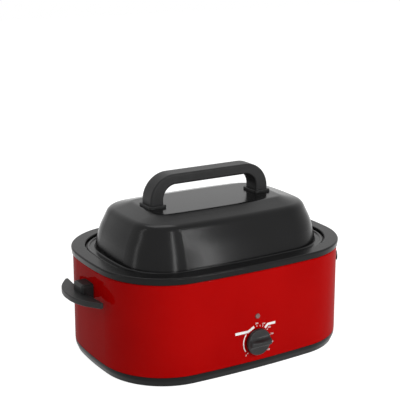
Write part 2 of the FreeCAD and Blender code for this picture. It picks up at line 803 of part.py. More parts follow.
def make_knob():
    body = new_body("control_shaft")
    start = f"({CASE_BACK} - 4.3)"
    end = f"({KNOB_BACK} - knob_skirt - 4)"
    shaft = draw_circle(new_sketch(body, "Shaft", "XZ", start), "0", "0", "shaft_radius")
    pad(body, shaft, f"{start} - {end}")
    place(body, z="knob_height")
    body = new_body("control_knob")
    skirt = draw_circle(new_sketch(body, "Skirt", "XZ", KNOB_BACK), "0", "0", "knob_radius")
    pad(body, skirt, "knob_skirt")
    face = f"({KNOB_BACK} - knob_skirt)"
    cap = draw_circle(new_sketch(body, "Cap", "XZ", face), "0", "0", "knob_radius - 4")
    pad(body, cap, "2")
    grip = new_sketch(body, "Grip", "XZ", face)
    wide = "knob_grip_width / 2"
    reach = "knob_radius - 3.5"
    draw_path(grip, box_points(f"-({reach})", reach, f"-({wide})", wide, "knob_grip_width * 0.4"))
    pad(body, grip, "knob_grip_rise")
    front = size(f"{face} - knob_grip_rise")
    round_edges(body, "2.5", lambda edge: edge.BoundBox.YMax < front + 0.01)
    hollow = draw_circle(new_sketch(body, "Hollow", "XZ", KNOB_BACK), "0", "0", "knob_radius - 3")
    pocket(body, hollow, "knob_skirt - 2.5", backwards=True)
    pocket_shaft = draw_circle(new_sketch(body, "Socket", "XZ", KNOB_BACK), "0", "0", "shaft_radius")
    pocket(body, pocket_shaft, "knob_skirt + 4", backwards=True)
    place(body, z="knob_height")


def make_lamp():
    body = new_body("indicator_lens")
    flange = draw_circle(new_sketch(body, "Flange", "XZ", SHELL_FRONT), "0", "0", "lens_radius")
    pad(body, flange, "2")
    front = size(f"{SHELL_FRONT} - 2")
    round_edges(body, "1.4", lambda edge: edge.BoundBox.YMax < front + 0.01)
    stem = draw_circle(new_sketch(body, "Stem", "XZ", SHELL_FRONT), "0", "0", "lens_stem")
    pad(body, stem, "10", backwards=True)
    place(body, z="lamp_height")
    body = new_body("lamp_holder")
    mouth = f"{SHELL_INNER_FRONT} + hole_clearance"
    tube = draw_circle(new_sketch(body, "Tube", "XZ", mouth), "0", "0", "lens_stem + 2")
    pad(body, tube, "18", backwards=True)
    bore = draw_circle(new_sketch(body, "Bore", "XZ", mouth), "0", "0", "lens_stem")
    pocket(body, bore, "12", backwards=False)
    place(body, z="lamp_height")


# Wiring inside the base


def make_inlet():
    """A gland through the bowed rear wall: a rim outside, a lock ring inside and a sleeve through both."""
    body = new_body("cord_inlet")
    outer = "inlet_bore + inlet_wall"
    flange = f"{outer} + inlet_rim"
    seat = f"({HALF_WIDTH} - inlet_seat_drop)"
    inside, outside_face = f"({seat} - shell_wall - 1)", f"{seat} + inlet_outside"
    sleeve = draw_circle(new_sketch(body, "Sleeve", "XZ", outside_face), "0", "0", outer)
    pad(body, sleeve, "inlet_inside + inlet_outside")
    rim = draw_circle(new_sketch(body, "Rim", "XZ", outside_face), "0", "0", flange)
    pad(body, rim, "inlet_outside")
    lock = draw_circle(new_sketch(body, "Lock", "XZ", inside), "0", "0", flange)
    pad(body, lock, "3")
    bore = draw_circle(new_sketch(body, "Bore", "XZ"), "0", "0", "inlet_bore")
    pocket(body, bore, backwards=False, midplane=True)
    place(body, x="inlet_across", z="inlet_height")


def make_terminal_block():
    left = "inlet_across - block_length / 2"
    right = "inlet_across + block_length / 2"
    near, far = f"{BLOCK_Y} - block_width / 2", f"{BLOCK_Y} + block_width / 2"
    case = block("block_case", left, right, near, far, PLATE_TOP, f"{PLATE_TOP} + block_height")
    bores = [
        rod("wire_bore", "lead_radius + 0.9", "block_width", f"inlet_across + {x}", near, BLOCK_Z, "Y")
        for x in (-12, 0, 12)
    ]
    register(cut("terminal_block", case, *bores), "terminal_block")
    top = f"{PLATE_TOP} + block_height"
    screws = [rod("clamp_screw", "2", "3", f"inlet_across + {x}", BLOCK_Y, top) for x in (-12, 0, 12)]
    register(fuse("terminal_screws", *screws), "terminal_screws")


TAB_Y = f"({CASE_BACK} - 5.5)"


def lead(label, points):
    """An insulated wire along straight runs joined by arcs."""
    spots = [V(*(size(value) for value in point)) for point in points]
    bend, radius = size("lead_bend"), size("lead_radius")
    edges, start = [], spots[0]
    for before, spot, after in zip(spots, spots[1:], spots[2:]):
        back, ahead = (before - spot).normalize(), (after - spot).normalize()
        half = back.getAngle(ahead) / 2
        reach = bend / math.tan(half)
        centre = spot + (back + ahead).normalize() * (bend / math.sin(half))
        entry, leave = spot + back * reach, spot + ahead * reach
        middle = centre + (spot - centre).normalize() * bend
        edges.append(Part.makeLine(start, entry))
        edges.append(Part.Arc(entry, middle, leave).toShape())
        start = leave
    edges.append(Part.makeLine(start, spots[-1]))
    route = Part.Wire(edges)
    circle = Part.Wire(Part.makeCircle(radius, spots[0], spots[1] - spots[0]))
    wire = doc.addObject("Part::Feature", label)
    wire.Shape = route.makePipeShell([circle], True, False)
    register(wire, label)


def make_leads():
    block_front = f"({BLOCK_Y} - block_width / 2)"
    for label, x, tab in (("supply_lead_live", -12, -9), ("supply_lead_neutral", 0, 9)):
        lead(
            label,
            [
                (f"inlet_across + {x}", block_front, BLOCK_Z),
                (f"inlet_across + {x}", f"{block_front} - 40", BLOCK_Z),
                (f"{tab}", f"{TAB_Y} + 55", BLOCK_Z),
                (f"{tab}", TAB_Y, BLOCK_Z),
                (f"{tab}", TAB_Y, "knob_height - 22"),
            ],
        )
    lead(
        "earth_lead",
        [
            ("inlet_across + 12", block_front, BLOCK_Z),
            ("inlet_across + 12", EARTH_Y, BLOCK_Z),
            (f"{EARTH_X} - earth_post", EARTH_Y, BLOCK_Z),
        ],
    )
    head = rod("earth_head", "earth_post", "block_height / 2 + 2", EARTH_X, EARTH_Y, PLATE_TOP)
    shank = rod("earth_shank", "1.5", "3", EARTH_X, EARTH_Y, f"{PLATE_TOP} - 1")
    register(fuse("earth_screw_bar", head, shank), "earth_screw")


# Side handles


def make_side_handles():
    for label, side in (("side_handle_left", -1), ("side_handle_right", 1)):
        body = new_body(label)
        inner = f"{side} * ({HALF_LENGTH} + lug_tip_gap)"
        outer = f"{side} * ({HALF_LENGTH} + lug_reach)"
        dip = f"{side} * ({HALF_LENGTH} + lug_tip_gap * 2)"
        tip = f"{side} * ({HALF_LENGTH} + lug_tip_gap + 6)"
        end, shoulder = "lug_half_length", "lug_half_length * 0.47"
        points = [
            (inner, end, "2"),
            (tip, end, "2"),
            (outer, shoulder, "lug_half_length * 1.25"),
            (outer, f"-{shoulder}", "lug_half_length * 1.25"),
            (tip, f"-{end}", "2"),
            (inner, f"-{end}", "2"),
            (dip, "0", "lug_half_length * 3"),
        ]
        plate = draw_path(new_sketch(body, "Plate", "XY", "lug_underside"), points)
        pad(body, plate, "lug_thickness")
        levels = size("lug_underside"), size(LUG_TOP)
        round_edges(body, "lug_round", lambda edge: any(on_level(edge, level) for level in levels))
        near, far = f"{side} * {HALF_LENGTH}", f"{side} * ({HALF_LENGTH} + lug_block_depth)"
        low, high = (far, near) if side < 0 else (near, far)
        width = "lug_block_width / 2"
        post = new_sketch(body, "Post", "XY", "lug_underside")
        draw_path(post, box_points(low, high, f"-{width}", width))
        pad(body, post, "lug_thickness + lug_block_rise")
        crest = size(f"{LUG_TOP} + lug_block_rise")
        wall = size(HALF_LENGTH) + 0.01
        round_edges(
            body,
            "lug_block_rise * 0.3",
            lambda edge: edge.BoundBox.ZMax > crest - 0.01 and outside(edge, wall, math.inf),
        )
        holes = new_sketch(body, "Holes", "YZ", near)
        for across in (-1, 1):
            draw_circle(holes, f"{across} * lug_screw_pitch / 2", LUG_SCREW_HEIGHT, "lug_screw")
        pocket(body, holes, "lug_screw_depth + 1", backwards=side > 0)
    make_side_handle_screws()


def make_side_handle_screws():
    screws = []
    for side in (-1, 1):
        for across in (-1, 1):
            y = f"{across} * lug_screw_pitch / 2"
            wall = f"({HALF_LENGTH} - shell_wall - hole_clearance)"
            head, shank = f"({wall} - lug_screw * 1.2)", f"({HALF_LENGTH} + lug_screw_depth)"
            span = (f"{shank} - {wall}", f"{wall} - {head}")
            start = wall if side > 0 else f"-{shank}"
            cap = head if side > 0 else f"-{wall}"
            screws.append(rod("lug_shank", "lug_screw", span[0], start, y, LUG_SCREW_HEIGHT, "X"))
            screws.append(rod("lug_head", "lug_screw * 2", span[1], cap, y, LUG_SCREW_HEIGHT, "X"))
    register(fuse("side_handle_screws", *screws), "side_handle_screws")


# Pan and rack


def make_pan():
    section = [
        ("pan_lip_tuck * 4", f"{PAN_TOP} - pan_lip"),
        ("0", PAN_TOP, "3"),
        ("pan_ring", PAN_TOP, "2"),
        ("pan_ring + 1", PAN_LEDGE, "2"),
        (PAN_WALL, PAN_LEDGE, "4"),
        (f"{PAN_WALL} + pan_draft", PAN_FLOOR, "pan_bottom_corner"),
        (f"{PAN_WALL} + 36", PAN_FLOOR),
    ]
    register(sheet_metal("pan", PAN_PLAN, section, "pan_sheet", f"{PAN_WALL} + 35"), "roasting_pan")


RACK_PLAN = plus(PAN_PLAN, f"{PAN_WALL} + rack_inset")


def make_rack():
    plan = RACK_PLAN
    rim_route = draw_plan(new_sketch(doc, "rack_route", "XY", RACK_HEIGHT), plan)
    start = draw_circle(new_sketch(doc, "rack_wire_section", "XZ"), plan[0], RACK_HEIGHT, "rack_wire / 2")
    rim = doc.addObject("Part::Sweep", "rack_rim")
    rim.Sections = [start]
    rim.Spine = (rim_route, [f"Edge{i}" for i in range(1, 10)])
    rim.Solid = True
    doc.recompute()
    bars = [rim]
    reach = size(plan[0]) - 12
    rows = int(reach // size("rack_pitch"))
    for step in range(-rows, rows + 1):
        x = step * size("rack_pitch")
        span = rack_half_width(plan, x)
        bars.append(rod("rack_bar", "rack_wire * 0.4", 2 * span, x, -span, RACK_HEIGHT, "Y"))
    rail_height = f"{RACK_HEIGHT} - rack_wire * 0.85"
    for side in (-1, 1):
        y = side * size(plan[1]) * 0.45
        span = size(plan[0]) - 10
        bars.append(rod("rack_rail", "rack_wire / 2", 2 * span, -span, y, rail_height, "X"))
    foot = f"({PAN_FLOOR} + rack_play)"
    for x in (-1, 1):
        for y in (-1, 1):
            spot = (x * size(plan[0]) * 0.62, y * size(plan[1]) * 0.45)
            bars.append(rod("rack_foot", "rack_wire / 2", f"{RACK_HEIGHT} - {foot}", *spot, foot))
    register(fuse("rack_grid", *bars), "rack_grid")


def rack_half_width(plan, x):
    """Half the width of the plan at the given X, ignoring the bow of its sides."""
    corner = size(plan[2])
    start = size(plan[0]) - size("short_side_bow") - corner
    flat = size(plan[1]) - size("long_side_bow") - corner
    over = max(0.0, abs(x) - start)
    return flat + math.sqrt(corner * corner - over * over)


def make_bails():
    tops = f"({PAN_TOP} - bail_below_rim)"
    bails = []
    for side in (-1, 1):
        x = f"{side} * {RACK_PLAN[0]}"
        route = new_sketch(doc, "bail_route", "YZ", x)
        low, bend = f"{RACK_HEIGHT} + rack_wire / 2", "bail_bend"
        near, far = "-bail_half_width", "bail_half_width"
        draw_path(route, [(near, low), (near, tops, bend), (far, tops, bend), (far, low)], closed=False)
        section = draw_circle(new_sketch(doc, "bail_section", "XY", low), x, near, "bail_wire / 2")
        bail = doc.addObject("Part::Sweep", "bail")
        bail.Sections = [section]
        bail.Spine = (route, [f"Edge{i}" for i in range(1, 6)])
        bail.Solid = True
        doc.recompute()
        bails.append(bail)
    register(fuse("rack_handles", *bails), "rack_handles")


# Lid


def make_lid():
    foot = "lid_lip + 1"
    section = [
        ("0.3", LID_BASE),
        ("0", f"{LID_BASE} + lid_lip", "1.8"),
        (foot, f"{LID_BASE} + lid_lip", "1.4"),
        (f"{foot} + 1.2", f"{LID_BASE} + lid_gutter", "1.4"),
        ("15.2", f"{LID_BASE} + lid_gutter", "2.5"),
        ("25.1", f"{LID_BASE} + lid_crown * 0.458", "110"),
        ("43.5", f"{LID_BASE} + lid_crown * 0.875", "18"),
        ("74", f"{LID_BASE} + lid_crown * 0.955", "25"),
        ("90", LID_TOP, "25"),
        ("97", LID_TOP),
    ]
    shell = sheet_metal("lid", LID_PLAN, section, "lid_sheet", "96")
    holes = grip_screw_bars("lid_hole", "grip_screw + hole_clearance", "-10", "10")
    register(cut("lid_shell", shell, *holes), "lid_shell")


LEG_CENTRE = "((grip_length - grip_leg) / 2)"


def grip_screw_bars(name, radius, low, high):
    """Bars at the handle's four screws, from and to heights measured from the top of the lid."""
    length, start = f"({high}) - ({low})", f"{LID_TOP} + ({low})"
    return [
        rod(name, radius, length, f"{x} * {LEG_CENTRE}", f"{y} * grip_width / 4", start)
        for x in (-1, 1)
        for y in (-1, 1)
    ]


def make_lid_handle():
    body = new_body("lid_handle")
    half, inner = "grip_length / 2", "(grip_length / 2 - grip_leg)"
    under = f"{GRIP_TOP} - grip_bar"
    outline = [
        (f"-{half}", SEAT_TOP),
        (f"-{half}", GRIP_TOP, "grip_outer_bend"),
        (half, GRIP_TOP, "grip_outer_bend"),
        (half, SEAT_TOP),
        (inner, SEAT_TOP),
        (inner, under, "grip_inner_bend"),
        (f"-{inner}", under, "grip_inner_bend"),
        (f"-{inner}", SEAT_TOP),
    ]
    arch = draw_path(new_sketch(body, "Arch", "XZ"), outline)
    pad(body, arch, "grip_width", midplane=True)
    side = size("grip_width / 2") - 0.01
    base = size(SEAT_TOP) + 0.01
    round_edges(body, "grip_round", lambda edge: on_side(edge, side) and edge.BoundBox.ZMax > base)
    bores = new_sketch(body, "Bores", "XY", SEAT_TOP)
    for x in (-1, 1):
        for y in (-1, 1):
            draw_circle(bores, f"{x} * {LEG_CENTRE}", f"{y} * grip_width / 4", "grip_screw")
    pocket(body, bores, "14", backwards=True)


def make_grip_fixings():
    body = new_body("handle_seats")
    pads = new_sketch(body, "Pads", "XY", LID_TOP)
    border = "grip_seat_border"
    width = f"grip_width / 2 + {border}"
    for side in (-1, 1):
        centre = f"{side} * {LEG_CENTRE}"
        half = f"(grip_leg / 2 + {border})"
        draw_path(pads, box_points(f"{centre} - {half}", f"{centre} + {half}", f"-({width})", width, "5"))
        for y in (-1, 1):
            draw_circle(pads, centre, f"{y} * grip_width / 4", "grip_screw + hole_clearance")
    pad(body, pads, "grip_seat")
    top = size(SEAT_TOP)
    round_edges(body, "1.5", lambda edge: on_level(edge, top) and edge.BoundBox.DiagonalLength > 8.5)
    washers = grip_screw_bars("washer_blank", "grip_screw * 2.4", "-lid_sheet - 1", "-lid_sheet")
    holes = grip_screw_bars("washer_hole", "grip_screw", "-lid_sheet - 1", "-lid_sheet")
    register(cut("handle_washers", fuse("washer_blanks", *washers), *holes), "handle_washers")
    heads = grip_screw_bars("grip_head", "grip_screw * 1.8", "-lid_sheet - 4", "-lid_sheet - 1")
    shanks = grip_screw_bars("grip_shank", "grip_screw", "-lid_sheet - 1", "grip_seat + 13")
    register(fuse("handle_screws", *heads, *shanks), "handle_screws")


def centre_parts():
    """Moves every part so that the origin lies under the middle of the whole oven."""
    for item in parts:
        bind(item, Placement__Base__y=ORIGIN_SHIFT)
    doc.recompute()


def export_parts():
    for item in doc.Objects:
        if "Invalid" in item.State or "Error" in item.State:
            raise RuntimeError(f"{item.Label} failed: {item.State}")
    for item in parts:
        if item.Shape.isNull() or not item.Shape.isValid() or not item.Shape.Solids:
            raise RuntimeError(f"{item.Label} has no valid solid")
    for item in parts:
        item.Shape.exportStep(f"parts/{item.Label}.step")
        print(f"{item.Label:24s} {len(item.Shape.Solids):2d} solids {item.Shape.Volume / 1000:9.2f} cm3")


os.makedirs("parts", exist_ok=True)
fill_sheet()
make_outer_shell()
make_base_skirt()
make_bottom_plate()
make_feet()
make_foot_screws()
make_rim_collar()
make_well()
make_heater()
make_insulation()
make_well_fixing()
make_cutoff()
make_thermostat()
make_knob()
make_lamp()
make_inlet()
make_terminal_block()
make_leads()
make_side_handles()
make_pan()
make_rack()
make_bails()
make_lid()
make_lid_handle()
make_grip_fixings()
centre_parts()
export_parts()
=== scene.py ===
import json
import math

import bmesh
import bpy
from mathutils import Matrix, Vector


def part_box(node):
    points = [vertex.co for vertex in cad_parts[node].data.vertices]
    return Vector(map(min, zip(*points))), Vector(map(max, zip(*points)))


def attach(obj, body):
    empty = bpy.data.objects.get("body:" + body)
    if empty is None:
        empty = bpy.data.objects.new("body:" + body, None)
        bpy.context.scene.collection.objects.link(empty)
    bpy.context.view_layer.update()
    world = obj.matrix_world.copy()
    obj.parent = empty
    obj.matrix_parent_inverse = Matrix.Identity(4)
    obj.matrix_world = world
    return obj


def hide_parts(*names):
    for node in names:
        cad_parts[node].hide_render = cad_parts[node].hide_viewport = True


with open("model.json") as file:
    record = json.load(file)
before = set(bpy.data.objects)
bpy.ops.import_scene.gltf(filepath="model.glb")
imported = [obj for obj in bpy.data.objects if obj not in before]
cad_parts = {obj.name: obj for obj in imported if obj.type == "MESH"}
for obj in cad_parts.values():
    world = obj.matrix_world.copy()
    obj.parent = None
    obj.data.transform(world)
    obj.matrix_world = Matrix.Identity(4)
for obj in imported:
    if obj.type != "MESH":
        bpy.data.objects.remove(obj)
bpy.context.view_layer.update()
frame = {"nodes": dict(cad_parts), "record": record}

# Electric roaster oven. Lengths are metres in the part's own frame: X along the long side, the front
# faces -Y and the feet stand on Z = 0. The rest pose is the closed oven.

MM = 0.001
nodes = frame["nodes"]

# Camera, as it stands for the photograph, with its spot measured from the middle of the base
PHOTO_SIDE = 400
FOCAL_PIXELS = 1011.5
SENSOR = 36.0
CAMERA_SPOT = (-1.0169, -1.6621, 0.8253)
CAMERA_TURN = -31.098
CAMERA_TILT = 13.011
CAMERA_SHIFT = -0.1

# Plan of the shell's long side, which bows outwards on one large arc
shell_low, shell_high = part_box("outer_shell")
FRONT = shell_low.y
MIDDLE_Y = (shell_low.y + shell_high.y) / 2
BOW_RADIUS = 1.927
knob_low, knob_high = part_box("control_knob")
KNOB_CENTRE = (knob_low + knob_high) / 2
KNOB_RADIUS = (knob_high.x - knob_low.x) / 2
PRINT_DEPTH = 0.12 * MM

# Printed dial: radii from the knob's centre, and angles from the right-hand side, turning left
DIAL_RADIUS = 30.5 * MM
NUMBER_RADIUS = 35.0 * MM
NUMBER_HEIGHT = 4.6 * MM
ARC_START = 144
ARC_END = 213
ARC_STEPS = 24
ARC_WIDTH = 2.2 * MM
OFF_ANGLE = 225.0
SPARE_ANGLE = 78.0
FIRST_ANGLE = 92.0
LAST_ANGLE = -42.0
DIAL_NUMBERS = ("200", "250", "300", "350", "400", "450")
NUMBER_TURN = (LAST_ANGLE - FIRST_ANGLE) / (len(DIAL_NUMBERS) - 1)
NUMBER_ANGLES = [FIRST_ANGLE + NUMBER_TURN * step for step in range(len(DIAL_NUMBERS))]
TICK_END = 31 * MM
TICK_STEPS = 2
NUMBER_TICK = {"start": 28.4 * MM, "width": 1.2 * MM}
PLAIN_TICK = {"start": 28.6 * MM, "width": 1.1 * MM}

# Slanted bars above the knob: X and height over BAR_HEIGHT, in millimetres
BAR_HEIGHT = KNOB_CENTRE.z + 22.5 * MM
LEFT_BAR = ((-49, 0), (-35, 0), (-20.5, 0), (-7, 7))
LEFT_BAR_WIDTH = 5.2 * MM
RIGHT_BAR = ((17.8, 0), (24, 6.2), (41.7, 6.4))
RIGHT_BAR_WIDTH = 5.0 * MM

# Background and floor
WORLD_LIGHT = 0.32
FLOOR_SIZE = 14.0
FLOOR_SHADE = 0.45
FLOOR_GLOW = 0.9

# Values of a noise between which a finish's gloss and its colour change
GLOSS_BAND = (0.3, 0.7)
COLOUR_BAND = (0.35, 0.65)
GRAIN_DETAIL = 2.0
FLECK_DETAIL = 1.0
FLECK_CORE = 0.6

# Sockets of a mix node that is set to colours
MIX_FACTOR, MIX_UNDER, MIX_OVER, MIX_RESULT = 0, 6, 7, 2


# Shader helpers


def new_material(name):
    material = bpy.data.materials.new(name)
    material.use_nodes = True
    tree = material.node_tree
    return material, tree, tree.nodes["Principled BSDF"]


def add_node(tree, kind, **inputs):
    item = tree.nodes.new(f"ShaderNode{kind}")
    for name, value in inputs.items():
        item.inputs[name.replace("_", " ")].default_value = value
    return item


def noise(tree, scale, detail=3.0, roughness=0.5, stretch=None):
    """Noise in the piece's own coordinates. The scale is in cells per metre."""
    place = add_node(tree, "TexCoord").outputs["Object"]
    if stretch:
        mapping = add_node(tree, "Mapping", Scale=stretch)
        tree.links.new(place, mapping.inputs["Vector"])
        place = mapping.outputs["Vector"]
    texture = add_node(tree, "TexNoise", Scale=scale, Detail=detail, Roughness=roughness)
    tree.links.new(place, texture.inputs["Vector"])
    return texture.outputs["Fac"]


def ramp(tree, source, *stops):
    """Maps a value to colours: each stop is a position and an RGB colour."""
    item = add_node(tree, "ValToRGB")
    band = item.color_ramp
    while len(band.elements) < len(stops):
        band.elements.new(0.5)
    for element, (position, colour) in zip(band.elements, stops):
        element.position = position
        element.color = (*colour, 1.0)
    tree.links.new(source, item.inputs["Fac"])
    return item.outputs["Color"]


def spread(tree, source, low, high):
    """Maps the middle of a noise to the range from low to high."""
    item = tree.nodes.new("ShaderNodeMapRange")
    item.inputs["From Min"].default_value = GLOSS_BAND[0]
    item.inputs["From Max"].default_value = GLOSS_BAND[1]
    item.inputs["To Min"].default_value = low
    item.inputs["To Max"].default_value = high
    tree.links.new(source, item.inputs["Value"])
    return item.outputs["Result"]


def add_bump(tree, shader, height, distance, strength=1.0):
    bump = add_node(tree, "Bump", Distance=distance, Strength=strength)
    tree.links.new(height, bump.inputs["Height"])
    tree.links.new(bump.outputs["Normal"], shader.inputs["Normal"])


def shade(name, dark, light, rough, patch, grain, depth, stretch=None, **sockets):
    """A finish whose colour drifts between two shades and whose gloss and surface carry a fine grain.

    Patches and grain are in cells per metre.
    """
    material, tree, shader = new_material(name)
    drift = noise(tree, patch, stretch=stretch)
    colours = ramp(tree, drift, (COLOUR_BAND[0], dark), (COLOUR_BAND[1], light))
    tree.links.new(colours, shader.inputs["Base Color"])
    fine = noise(tree, grain, detail=GRAIN_DETAIL, stretch=stretch)
    tree.links.new(spread(tree, fine, *rough), shader.inputs["Roughness"])
    add_bump(tree, shader, fine, depth)
    for socket, value in sockets.items():
        shader.inputs[socket.replace("_", " ")].default_value = value
    return material


def speckle(material, colour, cells, amount):
    """Adds fine flecks of another shade to a finish, so many cells per metre."""
    tree = material.node_tree
    shader = tree.nodes["Principled BSDF"]
    under = shader.inputs["Base Color"].links[0].from_socket
    dots = noise(tree, cells, detail=FLECK_DETAIL)
    flecks = ramp(tree, dots, (1 - amount, (0, 0, 0)), (1 - amount * FLECK_CORE, (1, 1, 1)))
    mix = tree.nodes.new("ShaderNodeMix")
    mix.data_type = "RGBA"
    tree.links.new(flecks, mix.inputs[MIX_FACTOR])
    tree.links.new(under, mix.inputs[MIX_UNDER])
    mix.inputs[MIX_OVER].default_value = (*colour, 1.0)
    tree.links.new(mix.outputs[MIX_RESULT], shader.inputs["Base Color"])


# Finishes, one for each of the record's material slots

ENAMEL = {"Specular_IOR_Level": 0.11}
METAL = {"Metallic": 1.0}
FINISHES = {
    "red_enamel": dict(
        dark=(0.325, 0.0006, 0.0006), light=(0.355, 0.0012, 0.0010), rough=(0.22, 0.28),
        patch=9, grain=700, depth=0.02 * MM,
        Specular_IOR_Level=0.0, Coat_Weight=0.16, Coat_Roughness=0.09, Coat_IOR=1.25,
    ),
    "black_satin": dict(
        dark=(0.0075, 0.0078, 0.0080), light=(0.0110, 0.0114, 0.0118), rough=(0.30, 0.38),
        patch=14, grain=1400, depth=0.03 * MM,
        **ENAMEL,
    ),
    "well_enamel": dict(
        dark=(0.006, 0.006, 0.006), light=(0.009, 0.009, 0.009), rough=(0.24, 0.34),
        patch=12, grain=600, depth=0.02 * MM,
        **ENAMEL,
    ),
    "pan_enamel": dict(
        dark=(0.0068, 0.0068, 0.0070), light=(0.0092, 0.0092, 0.0094), rough=(0.20, 0.26),
        patch=11, grain=900, depth=0.01 * MM,
        **ENAMEL,
    ),
    "lid_enamel": dict(
        dark=(0.0030, 0.0030, 0.0032), light=(0.0042, 0.0042, 0.0044), rough=(0.17, 0.22),
        patch=10, grain=800, depth=0.01 * MM,
        Specular_IOR_Level=0.19,
    ),
    "handle_plastic": dict(
        dark=(0.0095, 0.0095, 0.0098), light=(0.0135, 0.0135, 0.0138), rough=(0.36, 0.44),
        patch=40, grain=2600, depth=0.05 * MM,
        Specular_IOR_Level=0.2,
    ),
    "knob_plastic": dict(
        dark=(0.0085, 0.0085, 0.0088), light=(0.0125, 0.0125, 0.0128), rough=(0.28, 0.36),
        patch=90, grain=2400, depth=0.03 * MM,
        Specular_IOR_Level=0.3,
    ),
    "dark_moulding": dict(
        dark=(0.014, 0.014, 0.015), light=(0.022, 0.022, 0.023), rough=(0.5, 0.62),
        patch=60, grain=2200, depth=0.06 * MM,
    ),
    "foot_rubber": dict(
        dark=(0.012, 0.012, 0.012), light=(0.02, 0.02, 0.02), rough=(0.75, 0.9),
        patch=90, grain=3000, depth=0.08 * MM,
    ),
    "zinc_steel": dict(
        dark=(0.48, 0.49, 0.50), light=(0.62, 0.63, 0.64), rough=(0.32, 0.46),
        patch=60, grain=900, depth=0.02 * MM,
        stretch=(1, 9, 9), **METAL,
    ),
    "screw_steel": dict(
        dark=(0.46, 0.46, 0.47), light=(0.6, 0.6, 0.61), rough=(0.25, 0.4),
        patch=160, grain=1800, depth=0.02 * MM,
        **METAL,
    ),
    "heater_strip": dict(
        dark=(0.30, 0.28, 0.25), light=(0.46, 0.44, 0.41), rough=(0.4, 0.55),
        patch=120, grain=1500, depth=0.04 * MM,
        stretch=(1, 1, 14), **METAL,
    ),
    "brass_tabs": dict(
        dark=(0.58, 0.42, 0.16), light=(0.74, 0.58, 0.27), rough=(0.25, 0.4),
        patch=200, grain=1800, depth=0.02 * MM,
        **METAL,
    ),
    "glass_wool": dict(
        dark=(0.62, 0.58, 0.47), light=(0.85, 0.82, 0.72), rough=(0.85, 1.0),
        patch=70, grain=420, depth=1.2 * MM,
    ),
    "lamp_lens": dict(
        dark=(0.11, 0.045, 0.040), light=(0.15, 0.065, 0.058), rough=(0.18, 0.3),
        patch=500, grain=3000, depth=0.02 * MM,
        Coat_Weight=0.5,
    ),
    "white_ceramic": dict(
        dark=(0.72, 0.71, 0.66), light=(0.82, 0.81, 0.77), rough=(0.12, 0.22),
        patch=60, grain=900, depth=0.02 * MM,
    ),
    "lead_sleeve": dict(
        dark=(0.55, 0.52, 0.46), light=(0.7, 0.68, 0.62), rough=(0.55, 0.7),
        patch=120, grain=1800, depth=0.03 * MM,
    ),
    "rack_chrome": dict(
        dark=(0.68, 0.68, 0.69), light=(0.78, 0.78, 0.79), rough=(0.08, 0.2),
        patch=80, grain=1500, depth=0.01 * MM,
        **METAL,
    ),
}
DIAL_PAINT = dict(
    dark=(0.70, 0.70, 0.69), light=(0.78, 0.78, 0.77), rough=(0.4, 0.5),
    patch=300, grain=2600, depth=0.02 * MM,
)
WELL_FLECKS = dict(colour=(0.035, 0.035, 0.036), cells=1500, amount=0.3)


def make_finishes():
    finishes = {slot: shade(slot, **values) for slot, values in FINISHES.items()}
    speckle(finishes["well_enamel"], **WELL_FLECKS)
    for item in frame["record"]["subparts"]:
        part = nodes[item["node"]]
        part.data.materials.clear()
        part.data.materials.append(finishes[item["material_slot"]])
    return finishes


# Mesh helpers


def new_piece(name, mesh, body, material):
    mesh.materials.clear()
    mesh.materials.append(material)
    piece = bpy.data.objects.new(name, mesh)
    bpy.context.scene.collection.objects.link(piece)
    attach(piece, body)
    return piece


def from_bmesh(name, shape, smooth=True):
    bmesh.ops.recalc_face_normals(shape, faces=shape.faces)
    mesh = bpy.data.meshes.new(name)
    shape.to_mesh(mesh)
    shape.free()
    if smooth:
        mesh.shade_smooth()
    return mesh


def wall(x):
    """Y of the shell's bowed front at X."""
    return FRONT + BOW_RADIUS - math.sqrt(BOW_RADIUS * BOW_RADIUS - x * x)


# Print round the control


def print_point(shape, x, z, raised):
    return shape.verts.new((x, wall(x) - (PRINT_DEPTH if raised else 0.0), z))


def print_strip(shape, line, width):
    """A flat band of paint along the line, wrapped on the shell's front."""
    rows = []
    for index, spot in enumerate(line):
        back = line[max(index - 1, 0)]
        ahead = line[min(index + 1, len(line) - 1)]
        along = (ahead - back).normalized()
        across = Vector((-along.y, along.x)) * width / 2
        left, right = spot + across, spot - across
        rows.append([
            print_point(shape, left.x, left.y, False),
            print_point(shape, left.x, left.y, True),
            print_point(shape, right.x, right.y, True),
            print_point(shape, right.x, right.y, False),
        ])
    for first, second in zip(rows, rows[1:]):
        for edge in range(3):
            shape.faces.new((first[edge], first[edge + 1], second[edge + 1], second[edge]))
    shape.faces.new(rows[0])
    shape.faces.new(rows[-1])


def around(radius, degrees):
    turn = math.radians(degrees)
    return Vector((radius * math.cos(turn), KNOB_CENTRE.z + radius * math.sin(turn)))


def between(start, end, steps):
    return [start.lerp(end, step / steps) for step in range(steps + 1)]


def print_tick(shape, angle, start, width):
    line = between(around(start, angle), around(TICK_END, angle), TICK_STEPS)
    print_strip(shape, line, width)


def make_dial_marks(material):
    """The arc on the left, the ticks and the two slanted bars above the knob."""
    shape = bmesh.new()
    angles = [ARC_START + (ARC_END - ARC_START) * step / ARC_STEPS for step in range(ARC_STEPS + 1)]
    print_strip(shape, [around(DIAL_RADIUS, angle) for angle in angles], ARC_WIDTH)
    for angle in (OFF_ANGLE, SPARE_ANGLE):
        print_tick(shape, angle, **PLAIN_TICK)
    for angle in NUMBER_ANGLES:
        print_tick(shape, angle, **NUMBER_TICK)
    for points, width in ((LEFT_BAR, LEFT_BAR_WIDTH), (RIGHT_BAR, RIGHT_BAR_WIDTH)):
        print_strip(shape, [Vector((x * MM, BAR_HEIGHT + z * MM)) for x, z in points], width)
    mesh = from_bmesh("dial_marks", shape, smooth=False)
    new_piece("dial_marks", mesh, "base", material)


